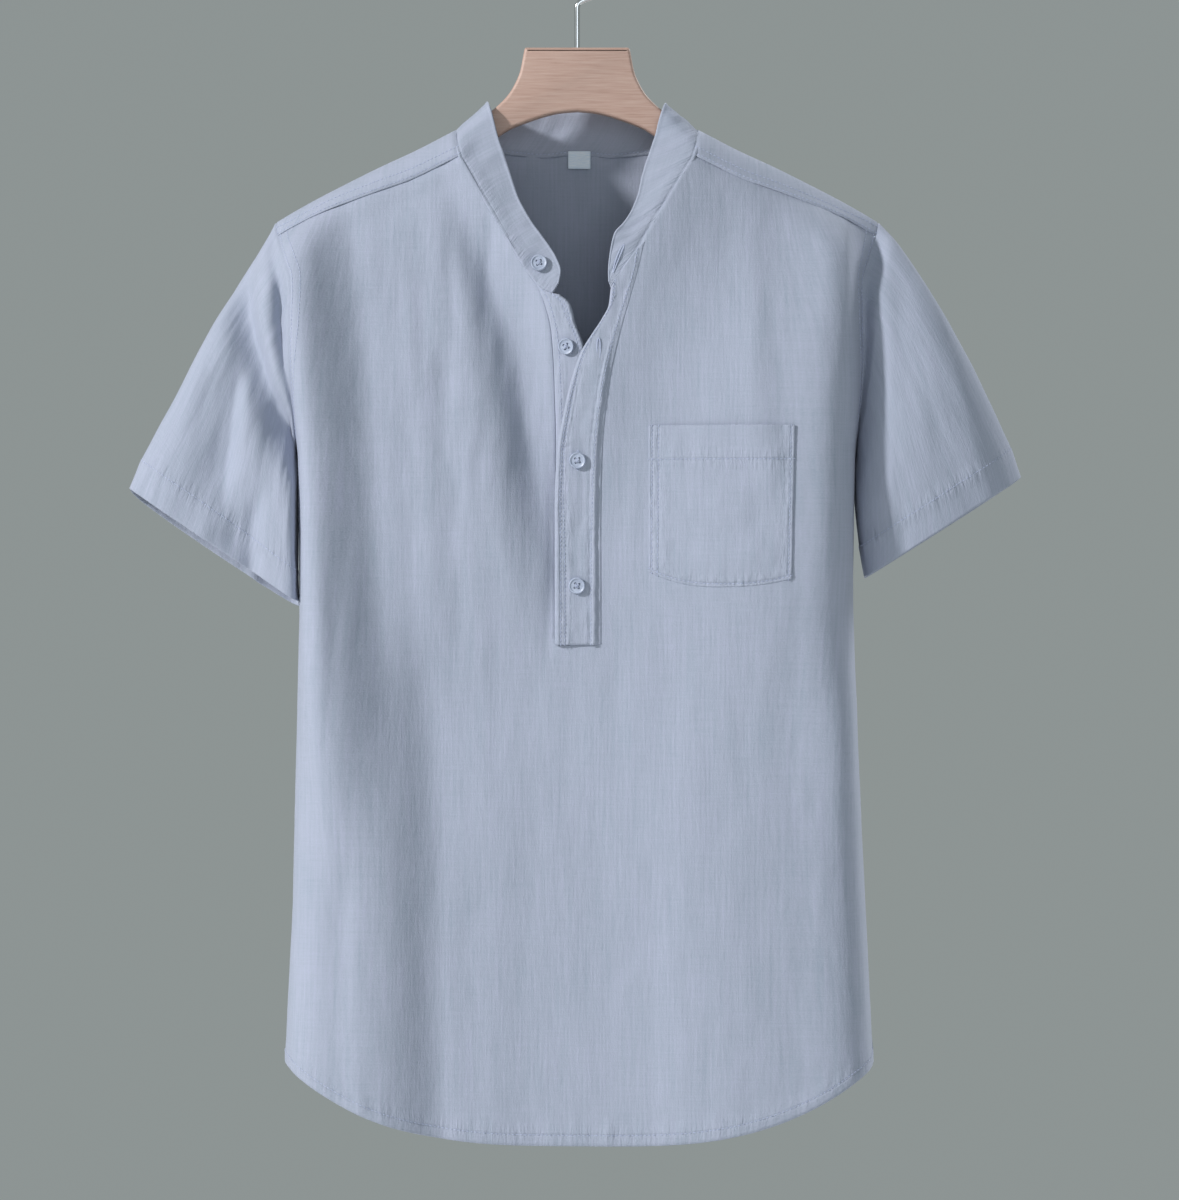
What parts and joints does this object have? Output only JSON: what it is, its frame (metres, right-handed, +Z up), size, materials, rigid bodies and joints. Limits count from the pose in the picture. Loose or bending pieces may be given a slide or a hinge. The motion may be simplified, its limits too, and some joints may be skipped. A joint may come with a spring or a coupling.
{
  "type": "mandarin collar shirt on a hanger",
  "caption": "Short-sleeved popover shirt with a stand collar, half placket, chest pocket and curved hem, hanging on a wooden hanger.",
  "frame": {"origin": "inside top of the hanger's hook, where it rests on the rail", "axes": "+Z up, -Y out of the front of the shirt, +X to the viewer's right as seen from the front"},
  "size_m": [0.6478, 0.1326, 0.8737],
  "materials": {
    "shirt_cloth": "matte, slubby plain weave",
    "label_cloth": "smooth satin weave",
    "button_resin": "polished",
    "hanger_wood": "satin, fine grain",
    "hook_metal": "polished"
  },
  "bodies": {
    "root": {"front_panel": "shirt_cloth", "back_panel": "shirt_cloth", "sleeve_left": "shirt_cloth", "sleeve_right": "shirt_cloth", "collar_stand": "shirt_cloth", "placket_under": "shirt_cloth", "placket_over": "shirt_cloth", "chest_pocket": "shirt_cloth", "neck_label": "label_cloth", "hanger_board": "hanger_wood", "hanger_hook": "hook_metal", "button_1_collar": "button_resin", "button_2": "button_resin", "button_3": "button_resin", "button_4": "button_resin"}
  },
  "joints": []
}
